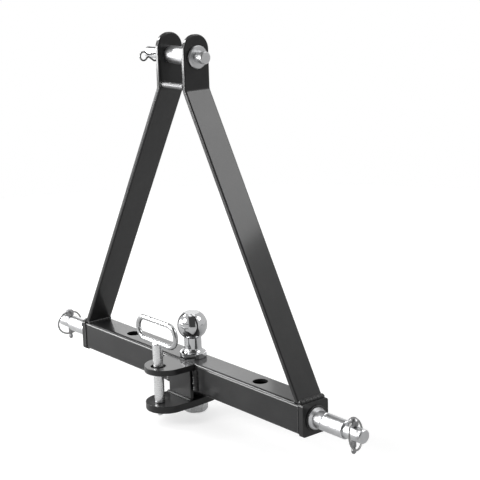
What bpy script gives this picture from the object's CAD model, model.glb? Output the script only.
"""Looks of a welded three-point hitch: mast, crossbar, lower pins, clevis and tow ball."""

from __future__ import annotations

import logging
import math
from dataclasses import dataclass, field
from enum import Enum
from typing import Any, Callable, Sequence

import bpy
from mathutils import Matrix, Vector

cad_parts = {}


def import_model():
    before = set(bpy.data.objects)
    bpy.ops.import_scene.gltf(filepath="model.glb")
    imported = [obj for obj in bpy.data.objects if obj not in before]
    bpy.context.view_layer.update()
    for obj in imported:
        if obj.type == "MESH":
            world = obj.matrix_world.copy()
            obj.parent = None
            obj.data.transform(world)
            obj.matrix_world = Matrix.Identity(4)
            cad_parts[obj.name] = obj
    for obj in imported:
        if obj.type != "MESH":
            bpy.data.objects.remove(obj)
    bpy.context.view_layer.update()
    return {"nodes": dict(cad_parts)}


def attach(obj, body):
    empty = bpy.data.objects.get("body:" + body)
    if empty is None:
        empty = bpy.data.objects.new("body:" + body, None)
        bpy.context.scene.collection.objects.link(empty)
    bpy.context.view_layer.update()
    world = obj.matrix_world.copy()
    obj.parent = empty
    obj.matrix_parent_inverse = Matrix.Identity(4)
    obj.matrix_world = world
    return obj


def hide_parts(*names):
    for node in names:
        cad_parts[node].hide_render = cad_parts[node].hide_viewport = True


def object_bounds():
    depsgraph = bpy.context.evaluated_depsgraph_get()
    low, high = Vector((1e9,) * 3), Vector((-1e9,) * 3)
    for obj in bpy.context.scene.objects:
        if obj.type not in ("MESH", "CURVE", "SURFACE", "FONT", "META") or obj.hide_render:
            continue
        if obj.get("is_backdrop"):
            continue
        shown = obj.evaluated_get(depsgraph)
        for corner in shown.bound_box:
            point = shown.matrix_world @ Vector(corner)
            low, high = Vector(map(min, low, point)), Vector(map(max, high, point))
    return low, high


LOG = logging.getLogger("hitch")

# Crossbar, in metres: the height of its middle, half of its side and half of its length
BAR_Z = -0.534
BAR_HALF = 0.0254
BAR_END = 0.295

# Meshes: the gap in metres that is merged, angles in degrees, and how much large faces count
MERGE_GAP = 0.000004
FLAT_ANGLE = 0.4
CREASE_ANGLE = 32.0
SMOOTH_ANGLE = 28.0
FACE_WEIGHT = 80

Pair = tuple[float, float]
Triple = tuple[float, float, float]
Drop = tuple[Vector, Vector, Vector]
WHITE = (1.0, 1.0, 1.0, 1.0)


class Body(Enum):
    """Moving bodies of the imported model."""

    FRAME = "frame"
    TOP_PIN = "top_pin"
    TOP_CLIP = "top_clip"
    LEFT_SLEEVE = "left_sleeve"
    RIGHT_SLEEVE = "right_sleeve"
    LEFT_LINCH = "left_linch"
    RIGHT_LINCH = "right_linch"
    LEFT_RING = "left_ring"
    RIGHT_RING = "right_ring"
    DROP_PIN = "drop_pin"


class Slot(Enum):
    """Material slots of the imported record."""

    PAINT = "black_paint"
    WELD = "painted_weld"
    BARE = "bare_steel"
    ZINC = "zinc_plate"
    WIRE = "spring_wire"
    CHROME = "ball_chrome"


# Shader tools


class Val:
    """A shader socket that takes part in Python arithmetic."""

    def __init__(self, kit: "NodeKit", socket: Any) -> None:
        """Args:
            kit: The node tree's kit.
            socket: The output that is wrapped.
        """
        self.kit = kit
        self.socket = socket

    def _math(self, operation: str, *values: Any) -> "Val":
        """Adds a Math node.

        Args:
            operation: The Math node's operation.
            values: Numbers or values for its inputs.

        Returns:
            The node's result.
        """
        inputs = {i: v for i, v in enumerate(values)}
        return self.kit.value("ShaderNodeMath", {"operation": operation}, inputs)

    def __add__(self, other: Any) -> "Val":
        """Adds."""
        return self._math("ADD", self, other)

    __radd__ = __add__

    def __sub__(self, other: Any) -> "Val":
        """Subtracts the other from this."""
        return self._math("SUBTRACT", self, other)

    def __rsub__(self, other: Any) -> "Val":
        """Subtracts this from the other."""
        return self._math("SUBTRACT", other, self)

    def __mul__(self, other: Any) -> "Val":
        """Multiplies."""
        return self._math("MULTIPLY", self, other)

    __rmul__ = __mul__

    def absolute(self) -> "Val":
        """Gives the size without its sign."""
        return self._math("ABSOLUTE", self)

    def sine(self) -> "Val":
        """Gives the sine of an angle in radians."""
        return self._math("SINE", self)

    def step(self, low: float, high: float) -> "Val":
        """Rises smoothly from 0 to 1.

        Args:
            low: Where the rise starts.
            high: Where the rise ends.

        Returns:
            The smooth mask.
        """
        settings = {"interpolation_type": "SMOOTHSTEP"}
        inputs = {"Value": self, "From Min": low, "From Max": high}
        return self.kit.value("ShaderNodeMapRange", settings, inputs)


class NodeKit:
    """Adds and links the nodes of one node tree."""

    def __init__(self, tree: bpy.types.NodeTree) -> None:
        """Empties the tree.

        Args:
            tree: The node tree.
        """
        self.tree = tree
        tree.nodes.clear()

    def node(self, kind: str, settings: dict[str, Any], inputs: dict[Any, Any]) -> Any:
        """Adds a node.

        Args:
            kind: The node's type.
            settings: Properties, set before the inputs.
            inputs: Values or links by socket name or index.

        Returns:
            The new node.
        """
        node = self.tree.nodes.new(kind)
        for name, value in settings.items():
            setattr(node, name, value)
        for key, value in inputs.items():
            socket = node.inputs[key]
            if isinstance(value, Val):
                self.tree.links.new(value.socket, socket)
            elif isinstance(value, bpy.types.NodeSocket):
                self.tree.links.new(value, socket)
            else:
                socket.default_value = value
        return node

    def value(
        self, kind: str, settings: dict[str, Any], inputs: dict[Any, Any], output: Any = 0
    ) -> Val:
        """Adds a node and wraps one of its outputs.

        Args:
            kind: The node's type.
            settings: Properties, set before the inputs.
            inputs: Values or links by socket name or index.
            output: The output's name or index.

        Returns:
            The wrapped output.
        """
        return Val(self, self.node(kind, settings, inputs).outputs[output])

    def place(self) -> Val:
        """Gives the Object coordinates."""
        return self.value("ShaderNodeTexCoord", {}, {}, "Object")

    def parts(self, vector: Val) -> tuple[Val, Val, Val]:
        """Splits a vector.

        Args:
            vector: The vector to split.

        Returns:
            Its three components.
        """
        outputs = self.node("ShaderNodeSeparateXYZ", {}, {0: vector}).outputs
        return Val(self, outputs[0]), Val(self, outputs[1]), Val(self, outputs[2])

    def stretched(self, scale: Sequence[float]) -> Val:
        """Gives Object coordinates scaled along each axis.

        Args:
            scale: The three factors.

        Returns:
            The scaled coordinates.
        """
        inputs = {"Vector": self.place(), "Scale": tuple(scale)}
        return self.value("ShaderNodeMapping", {}, inputs)

    def noise(self, vector: Val, scale: float, detail: float = 2.0, rough: float = 0.5) -> Val:
        """Adds a noise texture.

        Args:
            vector: Its coordinates.
            scale: Features per metre.
            detail: Octaves.
            rough: Strength of the finer octaves.

        Returns:
            The noise, mostly between 0.3 and 0.7.
        """
        inputs = {"Vector": vector, "Scale": scale, "Detail": detail, "Roughness": rough}
        return self.value("ShaderNodeTexNoise", {}, inputs)

    def blend(self, factor: Any, low: Any, high: Any) -> Val:
        """Mixes two colours.

        Args:
            factor: The share of the second colour.
            low: The first colour.
            high: The second colour.

        Returns:
            The mixed colour.
        """
        inputs = {"Factor": factor, "A": low, "B": high}
        node = self.node("ShaderNodeMix", {"data_type": "RGBA"}, {})
        for socket in node.inputs:
            if socket.type == "RGBA" or socket.identifier == "Factor_Float":
                value = inputs[socket.name]
                if isinstance(value, Val):
                    self.tree.links.new(value.socket, socket)
                else:
                    socket.default_value = (*value, 1.0) if socket.type == "RGBA" else value
        return Val(self, next(s for s in node.outputs if s.type == "RGBA"))

    def bump(
        self, height: Val, distance: float, strength: float = 1.0, under: Val | None = None
    ) -> Val:
        """Turns a height into a normal.

        Args:
            height: The height, from 0 to 1.
            distance: Metres for a height of 1.
            strength: How much of it shows.
            under: A normal that it is laid on.

        Returns:
            The new normal.
        """
        inputs: dict[Any, Any] = {"Height": height, "Distance": distance, "Strength": strength}
        if under is not None:
            inputs["Normal"] = under
        return self.value("ShaderNodeBump", {}, inputs)


def new_material(name: str) -> tuple[bpy.types.Material, NodeKit]:
    """Makes an empty material.

    Args:
        name: The material's name.
    """
    material = bpy.data.materials.new(name)
    material.use_nodes = True
    return material, NodeKit(material.node_tree)


def close_material(kit: NodeKit, inputs: dict[str, Any]) -> None:
    """Adds the surface shader and the output.

    Args:
        kit: The material's kit.
        inputs: Sockets of the surface shader.
    """
    shader = kit.node("ShaderNodeBsdfPrincipled", {}, inputs)
    kit.node("ShaderNodeOutputMaterial", {}, {"Surface": shader.outputs[0]})


# Finishes


@dataclass(frozen=True)
class Paint:
    """Sprayed black paint with orange peel, dust in the hollows and thin scuffs."""

    name: str
    colour: Triple = (0.011, 0.011, 0.0115)
    roughness: float = 0.4
    cloud_scale: float = 14.0
    cloud_rough: float = 0.16
    dust: Triple = (0.026, 0.026, 0.0265)
    dust_edge: Pair = (0.35, 0.75)
    dust_share: float = 0.55
    scuff: Triple = (0.09, 0.09, 0.092)
    scuff_scales: Triple = (30.0, 900.0, 260.0)
    scuff_edge: Pair = (0.66, 0.76)
    scuff_share: float = 0.16
    scuff_rough: float = 0.1
    speck_scale: float = 1600.0
    speck_edge: Pair = (0.66, 0.74)
    speck_share: float = 0.1
    ior: float = 1.34
    gloss: float = 0.56
    gloss_rough: float = 0.09
    peel: float = 0.00004
    peel_scale: float = 520.0
    weld_grain: float = 0.0
    weld_scale: float = 900.0

    def material(self) -> bpy.types.Material:
        """Builds the paint's material.

        Returns:
            The material.
        """
        material, kit = new_material(self.name)
        place = kit.place()
        cloud = kit.noise(place, self.cloud_scale, detail=4, rough=0.6)
        fine = kit.noise(place, self.peel_scale)
        speck = kit.noise(place, self.speck_scale, detail=1).step(*self.speck_edge)
        smear = kit.noise(kit.stretched(self.scuff_scales), 1.0, detail=3, rough=0.6)
        scuff = smear.step(*self.scuff_edge)
        dust = cloud.step(*self.dust_edge) * self.dust_share
        colour = kit.blend(dust, self.colour, self.dust)
        wear = scuff * self.scuff_share + speck * self.speck_share
        colour = kit.blend(wear, colour, self.scuff)
        rough = self.roughness + (cloud - 0.5) * self.cloud_rough + scuff * self.scuff_rough
        normal = kit.bump(fine, self.peel, strength=0.7)
        if self.weld_grain:
            grain = kit.noise(place, self.weld_scale, detail=3, rough=0.6)
            normal = kit.bump(grain, self.weld_grain, strength=0.8, under=normal)
        close_material(
            kit,
            {
                "Base Color": colour,
                "Roughness": rough,
                "Normal": normal,
                "IOR": self.ior,
                "Coat Weight": self.gloss,
                "Coat Roughness": self.gloss_rough,
            },
        )
        return material


@dataclass(frozen=True)
class Plated:
    """Clear zinc or chrome plate over turned or drawn steel, satin above a level if it has one."""

    name: str
    colour: Triple = (0.74, 0.745, 0.755)
    shade: Triple = (0.5, 0.505, 0.515)
    roughness: float = 0.27
    mottle: float = 1.0
    cloud_scale: float = 60.0
    cloud_edge: Pair = (0.35, 0.7)
    cloud_share: float = 0.5
    stain_scale: float = 210.0
    stain_edge: Pair = (0.5, 0.72)
    stain_share: float = 0.3
    stain_rough: float = 0.08
    turning: float = 0.0000003
    turn_axis: int = 0
    turn_scale: float = 2600.0
    turn_rough: float = 0.1
    cross_scale: float = 24.0
    ripple: float = 0.0000012
    ripple_scale: float = 500.0
    satin_z: float | None = None
    satin_fade: float = 0.0002
    satin_colour: Triple = (0.42, 0.425, 0.43)
    satin_rough: float = 0.2

    def material(self) -> bpy.types.Material:
        """Builds the plate's material.

        Returns:
            The material.
        """
        material, kit = new_material(self.name)
        place = kit.place()
        scales = [self.cross_scale] * 3
        scales[self.turn_axis] = self.turn_scale
        turned = kit.noise(kit.stretched(scales), 1.0, detail=2, rough=0.6)
        cloud = kit.noise(place, self.cloud_scale, detail=3, rough=0.6).step(*self.cloud_edge)
        stain = kit.noise(place, self.stain_scale, detail=4, rough=0.65).step(*self.stain_edge)
        tone = (cloud * self.cloud_share + stain * self.stain_share) * self.mottle
        colour = kit.blend(tone, self.colour, self.shade)
        rough = self.roughness + (turned - 0.5) * self.turn_rough
        rough = rough + stain * (self.stain_rough * self.mottle)
        if self.satin_z is not None:
            _, _, z = kit.parts(place)
            satin = z.step(self.satin_z - self.satin_fade, self.satin_z)
            colour = kit.blend(satin, colour, self.satin_colour)
            rough = rough + satin * self.satin_rough
        normal = kit.bump(turned, self.turning, strength=0.6)
        waves = kit.noise(place, self.ripple_scale)
        normal = kit.bump(waves, self.ripple, strength=0.4, under=normal)
        close_material(
            kit,
            {"Base Color": colour, "Metallic": 1.0, "Roughness": rough, "Normal": normal},
        )
        return material


@dataclass(frozen=True)
class Knurled:
    """Bright bare rod with rolled rings and dark grooves."""

    name: str
    pitch: float = 0.0016
    depth: float = 0.0002
    groove: Triple = (0.1, 0.1, 0.105)
    crest: Triple = (0.34, 0.34, 0.34)
    roughness: float = 0.46
    cloud_scale: float = 90.0
    cloud_rough: float = 0.2

    def material(self) -> bpy.types.Material:
        """Builds the rod's material.

        Returns:
            The material.
        """
        material, kit = new_material(self.name)
        x, _, _ = kit.parts(kit.place())
        wave = ((x * (2 * math.pi / self.pitch)).sine() + 1) * 0.5
        cloud = kit.noise(kit.place(), self.cloud_scale, detail=3, rough=0.6)
        close_material(
            kit,
            {
                "Base Color": kit.blend(wave, self.groove, self.crest),
                "Metallic": 1.0,
                "Roughness": self.roughness + (cloud - 0.5) * self.cloud_rough,
                "Normal": kit.bump(wave, self.depth, strength=0.6),
            },
        )
        return material


@dataclass(frozen=True)
class PaleFloor:
    """Pale floor that shows as white to the camera and keeps a soft shadow."""

    name: str = "pale floor"
    grey: float = 0.5
    lift: float = 0.64
    gloss_lift: float = 0.075

    def material(self) -> bpy.types.Material:
        """Builds the floor's material.

        Returns:
            The material.
        """
        material, kit = new_material(self.name)
        colour = (self.grey, self.grey, self.grey, 1.0)
        diffuse = kit.node("ShaderNodeBsdfDiffuse", {}, {"Color": colour})
        path = kit.node("ShaderNodeLightPath", {}, {})
        seen = Val(kit, path.outputs["Is Camera Ray"]) * self.lift
        seen = seen + Val(kit, path.outputs["Is Glossy Ray"]) * self.gloss_lift
        glow = kit.node("ShaderNodeEmission", {}, {"Color": WHITE, "Strength": seen})
        both = kit.node("ShaderNodeAddShader", {}, {0: diffuse.outputs[0], 1: glow.outputs[0]})
        kit.node("ShaderNodeOutputMaterial", {}, {"Surface": both.outputs[0]})
        return material


@dataclass
class Finishes:
    """Every finish on the hitch, made once."""

    paint: bpy.types.Material = field(init=False)
    weld: bpy.types.Material = field(init=False)
    zinc_x: bpy.types.Material = field(init=False)
    zinc_z: bpy.types.Material = field(init=False)
    handle: bpy.types.Material = field(init=False)
    wire: bpy.types.Material = field(init=False)
    linch: bpy.types.Material = field(init=False)
    bushing: bpy.types.Material = field(init=False)
    chrome: bpy.types.Material = field(init=False)
    rod: bpy.types.Material = field(init=False)
    ball_flat_z: float = BAR_Z + 0.1031

    def __post_init__(self) -> None:
        """Builds the materials."""
        self.paint = Paint("black powder coat").material()
        self.weld = Paint("painted weld bead", weld_grain=0.00005).material()
        self.zinc_x = Plated("zinc plate turned along x", roughness=0.33, mottle=0.5).material()
        self.zinc_z = Plated(
            "zinc plate turned along z",
            colour=(0.94, 0.945, 0.95),
            turn_axis=2,
            mottle=0.3,
        ).material()
        self.handle = Plated(
            "zinc plated handle",
            colour=(0.6, 0.605, 0.61),
            roughness=0.19,
            mottle=0.4,
        ).material()
        self.wire = Plated(
            "spring wire",
            colour=(0.4, 0.4, 0.4),
            shade=(0.25, 0.25, 0.25),
            roughness=0.3,
        ).material()
        self.linch = Plated(
            "dull zinc plate",
            colour=(0.34, 0.34, 0.345),
            shade=(0.2, 0.2, 0.205),
            roughness=0.3,
            turn_axis=2,
        ).material()
        self.bushing = Plated("turned bushing", roughness=0.37, mottle=0.5).material()
        self.chrome = Plated(
            "chrome plate",
            colour=(0.69, 0.695, 0.705),
            roughness=0.07,
            mottle=0.2,
            turning=0.0000005,
            turn_axis=2,
            ripple=0.0000003,
            satin_z=self.ball_flat_z,
        ).material()
        self.rod = Knurled("rolled bare rod").material()


# Mesh tools


def only(obj: bpy.types.Object) -> None:
    """Selects one object and makes it active.

    Args:
        obj: The object.
    """
    for other in bpy.context.selected_objects:
        other.select_set(False)
    obj.select_set(True)
    bpy.context.view_layer.objects.active = obj


def in_edit(obj: bpy.types.Object, *steps: Callable[[], Any]) -> None:
    """Runs steps on the whole mesh in edit mode.

    Args:
        obj: The mesh object.
        steps: Calls that run one after the other.
    """
    only(obj)
    bpy.ops.object.mode_set(mode="EDIT")
    bpy.ops.mesh.select_all(action="SELECT")
    for step in steps:
        step()
    bpy.ops.object.mode_set(mode="OBJECT")


def settle(obj: bpy.types.Object) -> None:
    """Moves an object's place into its mesh.

    Args:
        obj: The object, which then sits at the origin.
    """
    obj.data.transform(obj.matrix_world)
    obj.matrix_world = Matrix.Identity(4)


def joined(objects: Sequence[bpy.types.Object]) -> bpy.types.Object:
    """Joins objects into the first.

    Args:
        objects: The objects.

    Returns:
        The first object, which now holds them all.
    """
    only(objects[0])
    for obj in objects:
        obj.select_set(True)
    bpy.ops.object.join()
    return bpy.context.active_object


def dress(
    obj: bpy.types.Object, name: str, material: bpy.types.Material, body: Body
) -> bpy.types.Object:
    """Names a finished piece, gives it a material and lets it ride.

    Args:
        obj: The piece.
        name: Its name.
        material: Its finish.
        body: The body that it moves with.

    Returns:
        The piece.
    """
    obj.name = name
    obj.data.name = name
    obj.data.materials.clear()
    obj.data.materials.append(material)
    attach(obj, body.value)
    LOG.info("%s: %d faces", name, len(obj.data.polygons))
    return obj


def rounded_edges(obj: bpy.types.Object, width: float, segments: int, crease: float) -> None:
    """Rounds the sharp edges of a mesh.

    Args:
        obj: The mesh object.
        width: Rounding in metres.
        segments: Steps across the rounding.
        crease: The least angle in degrees of an edge that is rounded.
    """
    bevel = obj.modifiers.new("rounding", "BEVEL")
    bevel.width = width
    bevel.segments = segments
    bevel.limit_method = "ANGLE"
    bevel.angle_limit = math.radians(crease)
    only(obj)
    bpy.ops.object.modifier_apply(modifier=bevel.name)


def softened(node: bpy.types.Object, radius: float, segments: int = 2) -> bpy.types.Object:
    """Copies a node's mesh, merges it and rounds its sharp edges.

    Args:
        node: The node that is copied.
        radius: Rounding in metres, or 0 for none.
        segments: Steps across the rounding.

    Returns:
        The new object, not yet named or dressed.
    """
    copy = bpy.data.objects.new("copy", node.data.copy())
    bpy.context.scene.collection.objects.link(copy)
    for name in [a.name for a in copy.data.attributes if a.name == "custom_normal"]:
        copy.data.attributes.remove(copy.data.attributes[name])
    in_edit(
        copy,
        lambda: bpy.ops.mesh.remove_doubles(threshold=MERGE_GAP),
        lambda: bpy.ops.mesh.dissolve_limited(angle_limit=math.radians(FLAT_ANGLE)),
    )
    if radius:
        rounded_edges(copy, radius, segments, CREASE_ANGLE)
    only(copy)
    bpy.ops.object.shade_smooth_by_angle(angle=math.radians(SMOOTH_ANGLE))
    even = copy.modifiers.new("even normals", "WEIGHTED_NORMAL")
    even.mode = "FACE_AREA"
    even.weight = FACE_WEIGHT
    even.keep_sharp = True
    bpy.ops.object.modifier_apply(modifier=even.name)
    return copy


@dataclass(frozen=True)
class Bead:
    """A weld bead laid as overlapping drops along a path.

    From drop to drop it swells, flutters and rocks a little, each by its own step in radians.
    """

    radius: float
    pitch: float = 0.0024
    lean: float = 0.5
    sides: int = 12
    rings: int = 8
    stretch: float = 1.25
    flatness: float = 0.78
    swell: float = 0.07
    swell_step: float = 2.4
    flutter: float = 0.04
    flutter_step: float = 5.1
    rock: float = 0.1
    rock_step: float = 1.7

    def _drop(self) -> bpy.types.Mesh:
        """Models one flattened drop at the origin with its run along X.

        Returns:
            The drop's mesh.
        """
        bpy.ops.mesh.primitive_uv_sphere_add(segments=self.sides, ring_count=self.rings, radius=1.0)
        drop = bpy.context.active_object
        size = (self.pitch * self.stretch, self.radius, self.radius * self.flatness)
        in_edit(drop, lambda: bpy.ops.transform.resize(value=size))
        mesh = drop.data
        bpy.data.objects.remove(drop)
        return mesh

    def lay(self, path: Sequence[Drop], name: str) -> bpy.types.Object:
        """Lays the bead.

        Args:
            path: Place, run direction and outward direction of each drop.
            name: The bead's name.

        Returns:
            The bead as one object.
        """
        drop = self._drop()
        pieces = []
        for i, (at, run, out) in enumerate(path):
            x = run.normalized()
            z = (out - out.dot(x) * x).normalized()
            y = z.cross(x)
            turn = Matrix((x, y, z)).transposed().to_4x4()
            swell = self.swell * math.sin(i * self.swell_step)
            flutter = self.flutter * math.sin(i * self.flutter_step + 1.0)
            girth = 1.0 + swell + flutter
            lean = self.lean + self.rock * math.sin(i * self.rock_step)
            tip = Matrix.Diagonal((1.0, girth, girth, 1.0)) @ Matrix.Rotation(lean, 4, "Y")
            piece = bpy.data.objects.new(name, drop.copy())
            piece.data.transform(Matrix.Translation(at) @ turn @ tip)
            bpy.context.scene.collection.objects.link(piece)
            pieces.append(piece)
        bead = joined(pieces)
        bpy.ops.object.shade_smooth()
        return bead

    def straight(self, start: Vector, end: Vector, out: Vector) -> list[Drop]:
        """Gives the path between two points.

        Args:
            start: Where the bead starts.
            end: Where it ends.
            out: The direction in which it stands out.

        Returns:
            The path for lay.
        """
        run = end - start
        count = max(2, round(run.length / self.pitch))
        return [(start + run * (i / count), run, out) for i in range(count + 1)]

    def round_x(self, centre: Vector, ring: float, way: float) -> list[Drop]:
        """Gives the path round an axis along X.

        Args:
            centre: The ring's centre.
            ring: The ring's radius.
            way: 1 or -1, the side along X on which it stands out.

        Returns:
            The path for lay.
        """
        count = max(6, round(2 * math.pi * ring / self.pitch))
        path = []
        for i in range(count):
            a = 2 * math.pi * i / count
            spoke = Vector((0.0, math.cos(a), math.sin(a)))
            run = Vector((0.0, -math.sin(a), math.cos(a)))
            path.append((centre + spoke * ring, run, spoke + Vector((way, 0.0, 0.0))))
        return path


# Sub-assemblies


@dataclass
class Part:
    """Base of the sub-assemblies: the frame's nodes and the finishes."""

    nodes: dict[str, bpy.types.Object]
    finishes: Finishes

    def round_over(
        self,
        node: str,
        material: bpy.types.Material,
        body: Body,
        slot: Slot,
        radius: float,
        segments: int = 2,
    ) -> bpy.types.Object:
        """Replaces a node by its copy with rounded edges.

        Args:
            node: The node's name.
            material: The finish.
            body: The body that it moves with.
            slot: The record's material slot.
            radius: Rounding in metres.
            segments: Steps across the rounding.

        Returns:
            The new piece.
        """
        piece = softened(self.nodes[node], radius, segments)
        dress(piece, node + "_finished", material, body)
        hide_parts(node)
        return piece

    def painted(self, node: str, radius: float, segments: int = 2) -> bpy.types.Object:
        """Finishes a node of the frame in black paint."""
        paint = self.finishes.paint
        return self.round_over(node, paint, Body.FRAME, Slot.PAINT, radius, segments)

    def welded(self, beads: Sequence[bpy.types.Object], name: str) -> bpy.types.Object:
        """Joins painted beads into one piece of the frame."""
        return dress(joined(beads), name, self.finishes.weld, Body.FRAME)


@dataclass
class Mast(Part):
    """Two bent flat bars, the rod between the ears and their welds."""

    edge: float = 0.0026
    edge_steps: int = 4
    bar_w: float = 0.05
    bar_t: float = 0.0103
    foot_x: float = BAR_END
    tube_top: float = BAR_Z + BAR_HALF
    bead_margin: float = 0.003
    inner: Bead = Bead(0.0034, 0.0026)
    inner_gap: float = 0.0006
    inner_lift: float = 0.0008
    inner_rise: float = 0.8
    outer: Bead = Bead(0.0048, 0.003)
    outer_gap: float = 0.0014
    outer_lift: float = 0.0022
    outer_spread: float = 1.2
    rod_at: Pair = (-0.018, -0.047)
    rod_bead: Bead = Bead(0.0016, 0.0018)
    rod_bead_x: float = 0.0292
    rod_bead_ring: float = 0.0055

    def build(self) -> None:
        """Builds the mast."""
        for side in ("left", "right"):
            self.painted(side + "_arm", self.edge, self.edge_steps)
        self.round_over("ear_rod", self.finishes.rod, Body.FRAME, Slot.BARE, 0.0)
        self._foot_welds()
        self._rod_welds()

    def _foot_welds(self) -> None:
        """Lays the beads inside and outside each foot."""
        inner_x = self.foot_x - self.bar_t - self.inner_gap
        outer_x = self.foot_x + self.outer_gap
        inner_z = self.tube_top + self.inner_lift
        outer_z = self.tube_top + self.outer_lift
        half = self.bar_w / 2 - self.bead_margin
        beads = []
        for side in (-1, 1):
            runs = (
                (self.inner, side * inner_x, inner_z, (-side, 0.0, self.inner_rise)),
                (self.outer, side * outer_x, outer_z, (side * self.outer_spread, 0.0, 1.0)),
            )
            for bead, x, z, out in runs:
                path = bead.straight(Vector((x, -half, z)), Vector((x, half, z)), Vector(out))
                beads.append(bead.lay(path, "foot bead"))
        piece = self.welded(beads, "arm_weld_beads")
        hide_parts("arm_welds")

    def _rod_welds(self) -> None:
        """Lays the beads round the ends of the ear rod."""
        beads = []
        for side in (-1, 1):
            centre = Vector((side * self.rod_bead_x, *self.rod_at))
            path = self.rod_bead.round_x(centre, self.rod_bead_ring, -side)
            beads.append(self.rod_bead.lay(path, "rod bead"))
        piece = self.welded(beads, "ear_rod_weld_beads")
        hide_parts("ear_rod_welds")


@dataclass
class Crossbar(Part):
    """Square tube, its end plates and the beads between them."""

    tube_edge: float = 0.0005
    plate_edge: float = 0.0008
    half: float = BAR_HALF
    centre_z: float = BAR_Z
    foot_x: float = BAR_END
    bead: Bead = Bead(0.0019, 0.0021)
    bead_gap: float = 0.0011
    bead_proud: float = 0.0001
    bead_margin: float = 0.005
    bead_turn: float = 0.8

    def build(self) -> None:
        """Builds the crossbar."""
        self.painted("crossbar", self.tube_edge)
        for side in ("left", "right"):
            self.painted(side + "_end_plate", self.plate_edge)
        self._end_beads()

    def _end_beads(self) -> None:
        """Lays the beads in front of, below and behind the tube at each end plate."""
        face = self.half + self.bead_proud
        reach = self.half - self.bead_margin
        beads = []
        for side in (-1, 1):
            middle = Vector((side * (self.foot_x - self.bead_gap), 0.0, self.centre_z))
            inward = Vector((-side * self.bead_turn, 0.0, 0.0))
            runs = (
                (Vector((0.0, -face, reach)), Vector((0.0, -face, -reach)), Vector((0.0, -1.0, 0.0))),
                (Vector((0.0, -reach, -face)), Vector((0.0, reach, -face)), Vector((0.0, 0.0, -1.0))),
                (Vector((0.0, face, -reach)), Vector((0.0, face, reach)), Vector((0.0, 1.0, 0.0))),
            )
            for start, end, out in runs:
                path = self.bead.straight(middle + start, middle + end, out + inward)
                beads.append(self.bead.lay(path, "end bead"))
        piece = self.welded(beads, "end_plate_weld_beads")
        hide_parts("end_plate_welds")


@dataclass
class LowerPins(Part):
    """Stepped pins, sleeves, linch pins and their spring rings."""

    edge: float = 0.0003
    centre_z: float = BAR_Z
    flange_x: float = 0.305
    bead: Bead = Bead(0.0022, 0.0026)
    bead_gap: float = 0.0008
    bead_ring: float = 0.0185

    def build(self) -> None:
        """Builds both ends."""
        bodies = {
            "left": (Body.LEFT_SLEEVE, Body.LEFT_LINCH, Body.LEFT_RING),
            "right": (Body.RIGHT_SLEEVE, Body.RIGHT_LINCH, Body.RIGHT_RING),
        }
        looks = self.finishes
        for side, (sleeve, linch, ring) in bodies.items():
            self.round_over(side + "_lower_pin", looks.zinc_x, Body.FRAME, Slot.ZINC, self.edge)
            self.round_over(side + "_pin_sleeve", looks.zinc_x, sleeve, Slot.ZINC, 0.0)
            self.round_over(side + "_linch_pin", looks.linch, linch, Slot.ZINC, self.edge)
            self.round_over(side + "_linch_ring", looks.wire, ring, Slot.WIRE, 0.0)
        self._flange_beads()

    def _flange_beads(self) -> None:
        """Lays a painted bead round each pin's flange."""
        beads = []
        for side in (-1, 1):
            centre = Vector((side * (self.flange_x + self.bead_gap), 0.0, self.centre_z))
            path = self.bead.round_x(centre, self.bead_ring, side)
            beads.append(self.bead.lay(path, "flange bead"))
        self.welded(beads, "lower_pin_weld_beads")


@dataclass
class TopPin(Part):
    """Top link pin, the bushing on it between the ears, and its spring clip."""

    edge: float = 0.0003
    bush_r: float = 0.0143
    bush_bore: float = 0.0099
    bush_half: float = 0.0296
    bush_sides: int = 72
    rim: float = 0.0008
    rim_steps: int = 3
    rim_crease: float = 40.0
    rim_smooth: float = 35.0

    def build(self) -> None:
        """Builds the pin."""
        self._bushing()
        looks = self.finishes
        self.round_over("top_link_pin", looks.zinc_x, Body.TOP_PIN, Slot.ZINC, self.edge)
        self.round_over("top_pin_clip", looks.wire, Body.TOP_CLIP, Slot.WIRE, 0.0)

    def _bushing(self) -> None:
        """Models the turned bushing that fills the gap between the ears."""
        bpy.ops.mesh.primitive_cylinder_add(
            vertices=self.bush_sides,
            radius=self.bush_r,
            depth=2 * self.bush_half,
            rotation=(0.0, math.pi / 2, 0.0),
        )
        bush = bpy.context.active_object
        settle(bush)
        only(bush)
        bpy.ops.object.mode_set(mode="EDIT")
        bpy.ops.mesh.select_mode(type="FACE")
        bpy.ops.mesh.select_all(action="DESELECT")
        bpy.ops.object.mode_set(mode="OBJECT")
        for face in bush.data.polygons:
            face.select = abs(face.normal.x) > 0.9
        bpy.ops.object.mode_set(mode="EDIT")
        bpy.ops.mesh.inset(thickness=self.bush_r - self.bush_bore)
        bpy.ops.mesh.bridge_edge_loops()
        bpy.ops.object.mode_set(mode="OBJECT")
        rounded_edges(bush, self.rim, self.rim_steps, self.rim_crease)
        bpy.ops.object.shade_smooth_by_angle(angle=math.radians(self.rim_smooth))
        dress(bush, "top_pin_bushing", self.finishes.bushing, Body.TOP_PIN)


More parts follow.
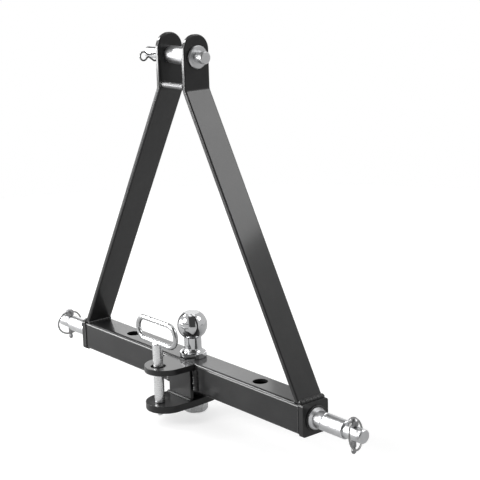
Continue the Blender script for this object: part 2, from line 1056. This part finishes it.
@dataclass
class Clevis(Part):
    """Two plates, the block between them and their beads."""

    edge: float = 0.0009
    centre_z: float = BAR_Z
    front_y: float = -BAR_HALF
    block_y: float = -0.0314
    block_w: float = 0.06
    seam: Bead = Bead(0.0024, 0.0022)
    seam_half: float = 0.034
    seam_gap: float = 0.0008
    seam_z: float = BAR_HALF - 0.0004
    seam_tilt: float = -0.25
    foot: Bead = Bead(0.0028, 0.0026)
    foot_gap: float = 0.0012
    foot_z: float = -0.0372
    flank: Bead = Bead(0.0066, 0.0034, 0.3)
    side_gap: float = 0.0072
    side_sink: float = 0.0004
    side_high: float = 0.0134
    side_low: float = -0.0184

    def build(self) -> None:
        """Builds the clevis."""
        for node in ("upper_clevis_plate", "lower_clevis_plate", "clevis_block"):
            self.painted(node, self.edge)
        self._beads()

    def _beads(self) -> None:
        """Lays the seam along the upper plate, the block's foot bead and its two side beads."""
        half = self.block_w / 2
        seam_y = self.front_y - self.seam_gap
        foot_y = self.block_y - self.foot_gap
        side_y = self.front_y + self.side_sink
        seam_ends = ((-self.seam_half, seam_y, self.seam_z), (self.seam_half, seam_y, self.seam_z))
        foot_ends = ((-half, foot_y, self.foot_z), (half, foot_y, self.foot_z))
        runs = [
            (self.seam, *seam_ends, (0.0, self.seam_tilt, 1.0)),
            (self.foot, *foot_ends, (0.0, -1.0, 1.0)),
        ]
        for side in (-1, 1):
            x = side * (half + self.side_gap)
            side_ends = ((x, side_y, self.side_high), (x, side_y, self.side_low))
            runs.append((self.flank, *side_ends, (0.0, -1.0, 0.0)))
        middle = Vector((0.0, 0.0, self.centre_z))
        beads = []
        for bead, start, end, out in runs:
            path = bead.straight(middle + Vector(start), middle + Vector(end), Vector(out))
            beads.append(bead.lay(path, "clevis bead"))
        piece = self.welded(beads, "clevis_weld_beads")
        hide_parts("clevis_welds")


@dataclass
class DropPin(Part):
    """Hitch pin with its looped handle."""

    edge: float = 0.0003
    axis_y: float = -0.074
    handle_low: float = BAR_Z + 0.06625
    bead: Bead = Bead(0.0019, 0.0022)
    bead_drops: int = 22
    bead_ring: Pair = (0.0076, 0.0068)
    bead_sink: float = 0.003
    bead_climb: float = 0.0022
    bead_rise: float = 0.6

    def build(self) -> None:
        """Builds the pin."""
        looks = self.finishes
        self.round_over("hitch_pin", looks.zinc_z, Body.DROP_PIN, Slot.ZINC, self.edge)
        self.round_over("hitch_pin_handle", looks.handle, Body.DROP_PIN, Slot.ZINC, 0.0)
        self._handle_bead()

    def _handle_bead(self) -> None:
        """Lays the plated bead between shank and handle."""
        path = []
        for i in range(self.bead_drops):
            a = 2 * math.pi * i / self.bead_drops
            spoke = Vector((math.cos(a), math.sin(a), 0.0))
            run = Vector((-math.sin(a), math.cos(a), 0.0))
            x = self.bead_ring[0] * spoke.x
            y = self.axis_y + self.bead_ring[1] * spoke.y
            z = self.handle_low - self.bead_sink + self.bead_climb * abs(math.cos(a))
            out = spoke + Vector((0.0, 0.0, self.bead_rise))
            path.append((Vector((x, y, z)), run, out))
        piece = self.bead.lay(path, "handle bead")
        dress(piece, "handle_weld_bead", self.finishes.handle, Body.DROP_PIN)


@dataclass
class TowBall(Part):
    """Ball, spacer, lock washer and nut."""

    edge: float = 0.0005
    nut_edge: float = 0.0004

    def build(self) -> None:
        """Builds the ball and its fastening."""
        looks = self.finishes
        self.round_over("tow_ball", looks.chrome, Body.FRAME, Slot.CHROME, self.edge)
        self.painted("shank_spacer", self.edge)
        for node in ("ball_lock_washer", "ball_nut"):
            self.round_over(node, looks.zinc_z, Body.FRAME, Slot.ZINC, self.nut_edge)


# Studio


@dataclass(frozen=True)
class SoftBox:
    """A soft box at a place in metres, with its width and height and its power in watts."""

    name: str
    at: Triple
    size: Pair
    power: float
    aim: Triple = (0.0, 0.0, -0.3)

    def hang(self) -> None:
        """Hangs the lamp so that it faces the hitch."""
        data = bpy.data.lights.new(self.name, "AREA")
        data.shape = "RECTANGLE"
        data.size, data.size_y = self.size
        data.energy = self.power
        lamp = bpy.data.objects.new(self.name, data)
        bpy.context.scene.collection.objects.link(lamp)
        place = Vector(self.at)
        turn = (Vector(self.aim) - place).to_track_quat("-Z", "Y").to_matrix().to_4x4()
        lamp.matrix_world = Matrix.Translation(place) @ turn


@dataclass
class Studio:
    """Floor, camera, lamps and world. The camera's values are in pixels, degrees and metres."""

    focal_px: float = 1360.387
    centre_px: Pair = (234.576, 240.021)
    image_px: float = 480.0
    roll: float = -1.731
    pitch: float = 13.916
    yaw: float = 51.061
    offset: Triple = (-0.068975, -0.221376, 2.314698)
    crossbar_z: float = BAR_Z
    sensor_mm: float = 36.0
    view_end: float = 100.0
    floor_r: float = 1.9
    floor_sides: int = 96
    floor_gap: float = 0.0005
    world_level: float = 0.5
    gloss_level: float = 0.66
    curtain_across: Triple = (0.61, 0.79, 0.0)
    curtain_width: Pair = (0.34, 0.5)
    curtain_way: Triple = (0.79, -0.61, 0.0)
    curtain_start: Pair = (0.0, 0.12)
    curtain_dark: float = 0.9
    low_card: Triple = (0.755, 0.61, -0.24)
    low_card_edge: Pair = (0.93, 0.98)
    low_card_dark: float = 0.4
    high_card: Triple = (-0.755, 0.29, 0.59)
    high_card_edge: Pair = (0.935, 0.955)
    high_card_dark: float = 0.98

    def build(self) -> None:
        """Builds the studio."""
        self._floor()
        self._camera()
        self._lamps()
        self._world()

    def _floor(self) -> None:
        """Lays a round pale floor under the lowest point."""
        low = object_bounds()[0][2]
        bpy.ops.mesh.primitive_circle_add(
            vertices=self.floor_sides,
            radius=self.floor_r,
            fill_type="NGON",
            location=(0.0, 0.0, low - self.floor_gap),
        )
        floor = bpy.context.active_object
        floor.name = "floor"
        settle(floor)
        floor.data.materials.append(PaleFloor().material())
        floor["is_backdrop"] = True

    def _camera(self) -> None:
        """Sets the camera at the photograph's angle."""
        yaw, pitch, roll = (math.radians(v) for v in (self.yaw, self.pitch, self.roll))
        flat = math.cos(pitch)
        ahead = Vector((-math.sin(yaw) * flat, math.cos(yaw) * flat, -math.sin(pitch)))
        level = Vector((math.cos(yaw), math.sin(yaw), 0.0))
        above = level.cross(ahead)
        right = level * math.cos(roll) + above * math.sin(roll)
        up = above * math.cos(roll) - level * math.sin(roll)
        tx, ty, tz = self.offset
        centre = -(right * tx + up * ty + ahead * tz) + Vector((0.0, 0.0, self.crossbar_z))
        data = bpy.data.cameras.new("camera")
        data.sensor_fit = "HORIZONTAL"
        data.sensor_width = self.sensor_mm
        data.lens = self.focal_px / self.image_px * self.sensor_mm
        data.shift_x = (self.image_px / 2 - self.centre_px[0]) / self.image_px
        data.shift_y = (self.centre_px[1] - self.image_px / 2) / self.image_px
        data.clip_end = self.view_end
        camera = bpy.data.objects.new("camera", data)
        bpy.context.scene.collection.objects.link(camera)
        turn = Matrix((right, up, -ahead)).transposed().to_4x4()
        camera.matrix_world = Matrix.Translation(centre) @ turn
        bpy.context.scene.camera = camera

    def _lamps(self) -> None:
        """Hangs the soft boxes."""
        SoftBox("low front box", (-2.0, -1.65, -0.02), (1.5, 0.62), 47.0).hang()
        SoftBox("high front box", (-1.1, -2.5, 1.2), (1.4, 1.2), 48.0).hang()
        SoftBox("side box", (-2.0, -0.65, 1.35), (0.5, 0.5), 19.0).hang()
        SoftBox("low back box", (-2.56, 1.62, 0.35), (1.1, 1.1), 5.2).hang()
        SoftBox("back box", (1.75, 1.8, 1.9), (1.4, 1.3), 25.0).hang()
        SoftBox("top box", (-0.4, 0.2, 2.6), (2.0, 2.0), 9.0).hang()

    @staticmethod
    def _dot(kit: NodeKit, way: Val, direction: Sequence[float]) -> Val:
        """Compares a ray's direction with another.

        Args:
            kit: The world's kit.
            way: The ray's direction.
            direction: The direction that it is compared with.

        Returns:
            1 where they are the same, 0 where they are square and -1 where they are opposite.
        """
        inputs = {0: way, 1: tuple(Vector(direction).normalized())}
        return kit.value("ShaderNodeVectorMath", {"operation": "DOT_PRODUCT"}, inputs, "Value")

    def _world(self) -> None:
        """Lights the scene from all round, with a dark curtain and two cards for the metal."""
        world = bpy.data.worlds.new("studio")
        bpy.context.scene.world = world
        world.use_nodes = True
        kit = NodeKit(world.node_tree)
        way = kit.value("ShaderNodeTexCoord", {}, {}, "Generated")
        side = self._dot(kit, way, self.curtain_across).absolute().step(*self.curtain_width)
        facing = self._dot(kit, way, self.curtain_way).step(*self.curtain_start)
        curtain = (1.0 - side) * facing
        low_card = self._dot(kit, way, self.low_card).step(*self.low_card_edge)
        high_card = self._dot(kit, way, self.high_card).step(*self.high_card_edge)
        light = (1.0 - curtain * self.curtain_dark) * (1.0 - low_card * self.low_card_dark)
        light = light * (1.0 - high_card * self.high_card_dark)
        path = kit.node("ShaderNodeLightPath", {}, {})
        camera_ray = Val(kit, path.outputs["Is Camera Ray"])
        gloss_ray = Val(kit, path.outputs["Is Glossy Ray"])
        level = self.world_level + gloss_ray * (self.gloss_level - self.world_level)
        strength = light * level * (1.0 - camera_ray) + camera_ray
        inputs = {"Color": WHITE, "Strength": strength}
        background = kit.node("ShaderNodeBackground", {}, inputs)
        kit.node("ShaderNodeOutputWorld", {}, {"Surface": background.outputs[0]})


def main() -> None:
    """Builds the dressed hitch in its studio."""
    logging.basicConfig(level=logging.INFO, format="%(name)s: %(message)s")
    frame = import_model()
    bpy.context.scene.view_settings.view_transform = "Standard"
    finishes = Finishes()
    for kind in (Mast, Crossbar, LowerPins, TopPin, Clevis, DropPin, TowBall):
        kind(frame["nodes"], finishes).build()
        LOG.info("built %s", kind.__name__)
    Studio().build()


if __name__ == "__main__":
    main()
